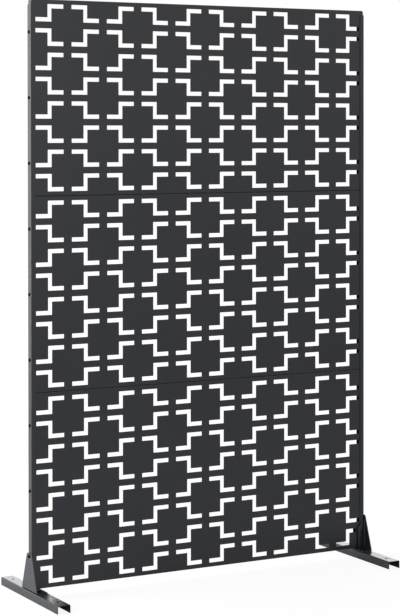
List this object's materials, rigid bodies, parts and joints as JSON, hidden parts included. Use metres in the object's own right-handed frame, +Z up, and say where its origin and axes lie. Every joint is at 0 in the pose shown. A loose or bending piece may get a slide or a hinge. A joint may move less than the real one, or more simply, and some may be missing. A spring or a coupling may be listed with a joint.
{
  "type": "privacy screen",
  "caption": "Free-standing sheet-metal privacy screen: stacked slotted panels with a stepped lattice, bolted between channel posts that stand on channel feet.",
  "frame": {"origin": "on the floor, at mid width and mid depth of the screen", "axes": "+Z up; -Y the way the slotted face looks; +X to the right when looking at that face"},
  "size_m": [1.2122, 0.44, 1.83],
  "materials": {
    "powder_coat": "semi-gloss charcoal powder coat with a fine texture",
    "black_steel": "black oxide",
    "zinc_steel": "bright zinc plate"
  },
  "bodies": {
    "root": {"panel_bottom": "powder_coat", "panel_middle": "powder_coat", "panel_top": "powder_coat", "post_left": "powder_coat", "post_right": "powder_coat", "foot_left": "powder_coat", "foot_right": "powder_coat", "bracket_left": "powder_coat", "bracket_right": "powder_coat", "screw_left_1": "black_steel", "screw_left_2": "black_steel", "screw_left_3": "black_steel", "screw_left_4": "black_steel", "screw_left_5": "black_steel", "screw_left_6": "black_steel", "screw_left_7": "black_steel", "screw_left_8": "black_steel", "screw_left_9": "black_steel", "screw_right_1": "black_steel", "screw_right_2": "black_steel", "screw_right_3": "black_steel", "screw_right_4": "black_steel", "screw_right_5": "black_steel", "screw_right_6": "black_steel", "screw_right_7": "black_steel", "screw_right_8": "black_steel", "screw_right_9": "black_steel", "nut_left_1": "zinc_steel", "nut_left_2": "zinc_steel", "nut_left_3": "zinc_steel", "nut_left_4": "zinc_steel", "nut_left_5": "zinc_steel", "nut_left_6": "zinc_steel", "nut_left_7": "zinc_steel", "nut_left_8": "zinc_steel", "nut_left_9": "zinc_steel", "nut_right_1": "zinc_steel", "nut_right_2": "zinc_steel", "nut_right_3": "zinc_steel", "nut_right_4": "zinc_steel", "nut_right_5": "zinc_steel", "nut_right_6": "zinc_steel", "nut_right_7": "zinc_steel", "nut_right_8": "zinc_steel", "nut_right_9": "zinc_steel", "seam_bolt_lower": "black_steel", "seam_nut_lower": "zinc_steel", "seam_bolt_upper": "black_steel", "seam_nut_upper": "zinc_steel", "foot_bolt_left_front": "black_steel", "foot_nut_left_front": "zinc_steel", "foot_bolt_left_rear": "black_steel", "foot_nut_left_rear": "zinc_steel", "foot_bolt_right_front": "black_steel", "foot_nut_right_front": "zinc_steel", "foot_bolt_right_rear": "black_steel", "foot_nut_right_rear": "zinc_steel"}
  },
  "joints": []
}
